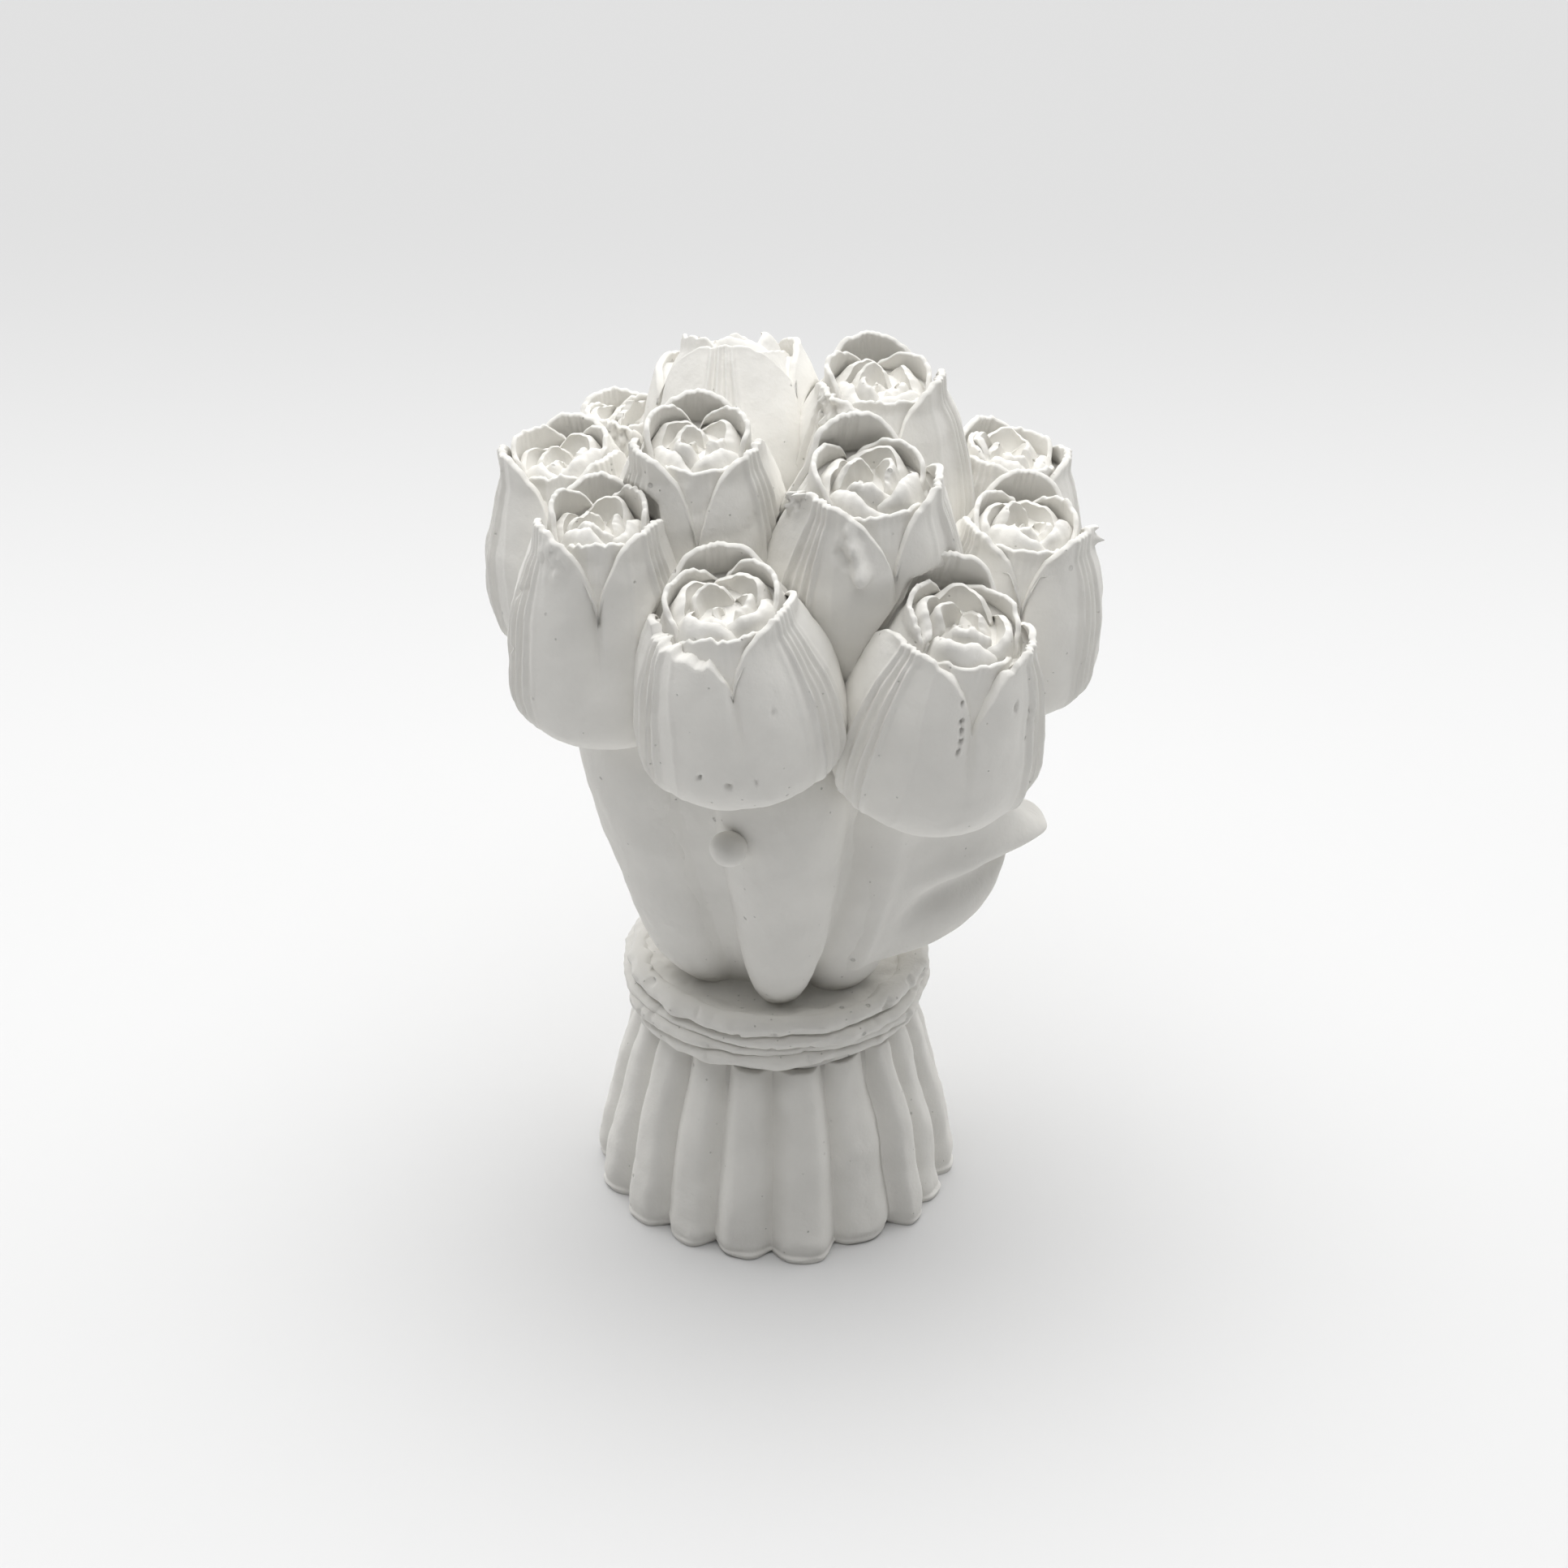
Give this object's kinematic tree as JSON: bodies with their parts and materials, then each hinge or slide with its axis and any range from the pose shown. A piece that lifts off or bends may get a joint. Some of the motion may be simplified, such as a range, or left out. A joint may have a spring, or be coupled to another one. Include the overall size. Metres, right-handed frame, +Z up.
{
  "type": "tulip bouquet plaster casting",
  "caption": "Free-standing white plaster casting of a tied tulip bouquet: domed flower heads on a leafy neck, bound with twine above a flared skirt of stems.",
  "frame": {"origin": "centre of the flat foot, on the surface that the casting stands on", "axes": "+Z up from the foot to the flowers, -Y towards the front, +X to the right as seen from the front"},
  "size_m": [0.0698, 0.0693, 0.1054],
  "materials": {
    "plaster_stems": "matte",
    "plaster_twine": "matte",
    "plaster_leaves": "matte",
    "plaster_petals": "matte",
    "plaster_hearts": "matte"
  },
  "bodies": {
    "root": {"stem_core": "plaster_stems", "stem_01": "plaster_stems", "stem_02": "plaster_stems", "stem_03": "plaster_stems", "stem_04": "plaster_stems", "stem_05": "plaster_stems", "stem_06": "plaster_stems", "stem_07": "plaster_stems", "stem_08": "plaster_stems", "stem_09": "plaster_stems", "stem_10": "plaster_stems", "stem_11": "plaster_stems", "stem_12": "plaster_stems", "stem_13": "plaster_stems", "stem_14": "plaster_stems", "stem_15": "plaster_stems", "stem_16": "plaster_stems", "stem_17": "plaster_stems", "stem_18": "plaster_stems", "waist": "plaster_twine", "twine_1": "plaster_twine", "twine_2": "plaster_twine", "twine_3": "plaster_twine", "twine_4": "plaster_twine", "neck": "plaster_leaves", "leaf_left": "plaster_leaves", "leaf_left_back": "plaster_leaves", "leaf_centre": "plaster_leaves", "leaf_right": "plaster_leaves", "leaf_right_back": "plaster_leaves", "casting_bead": "plaster_leaves", "tulip_01_petals": "plaster_petals", "tulip_02_petals": "plaster_petals", "tulip_03_petals": "plaster_petals", "tulip_04_petals": "plaster_petals", "tulip_05_petals": "plaster_petals", "tulip_06_petals": "plaster_petals", "tulip_07_petals": "plaster_petals", "tulip_08_petals": "plaster_petals", "tulip_09_petals": "plaster_petals", "tulip_10_petals": "plaster_petals", "tulip_11_petals": "plaster_petals", "tulip_12_petals": "plaster_petals", "tulip_13_petals": "plaster_petals", "tulip_01_heart": "plaster_hearts", "tulip_02_heart": "plaster_hearts", "tulip_03_heart": "plaster_hearts", "tulip_04_heart": "plaster_hearts", "tulip_05_heart": "plaster_hearts", "tulip_06_heart": "plaster_hearts", "tulip_07_heart": "plaster_hearts", "tulip_08_heart": "plaster_hearts", "tulip_09_heart": "plaster_hearts", "tulip_10_heart": "plaster_hearts", "tulip_11_heart": "plaster_hearts", "tulip_12_heart": "plaster_hearts", "tulip_13_heart": "plaster_hearts"}
  },
  "joints": []
}
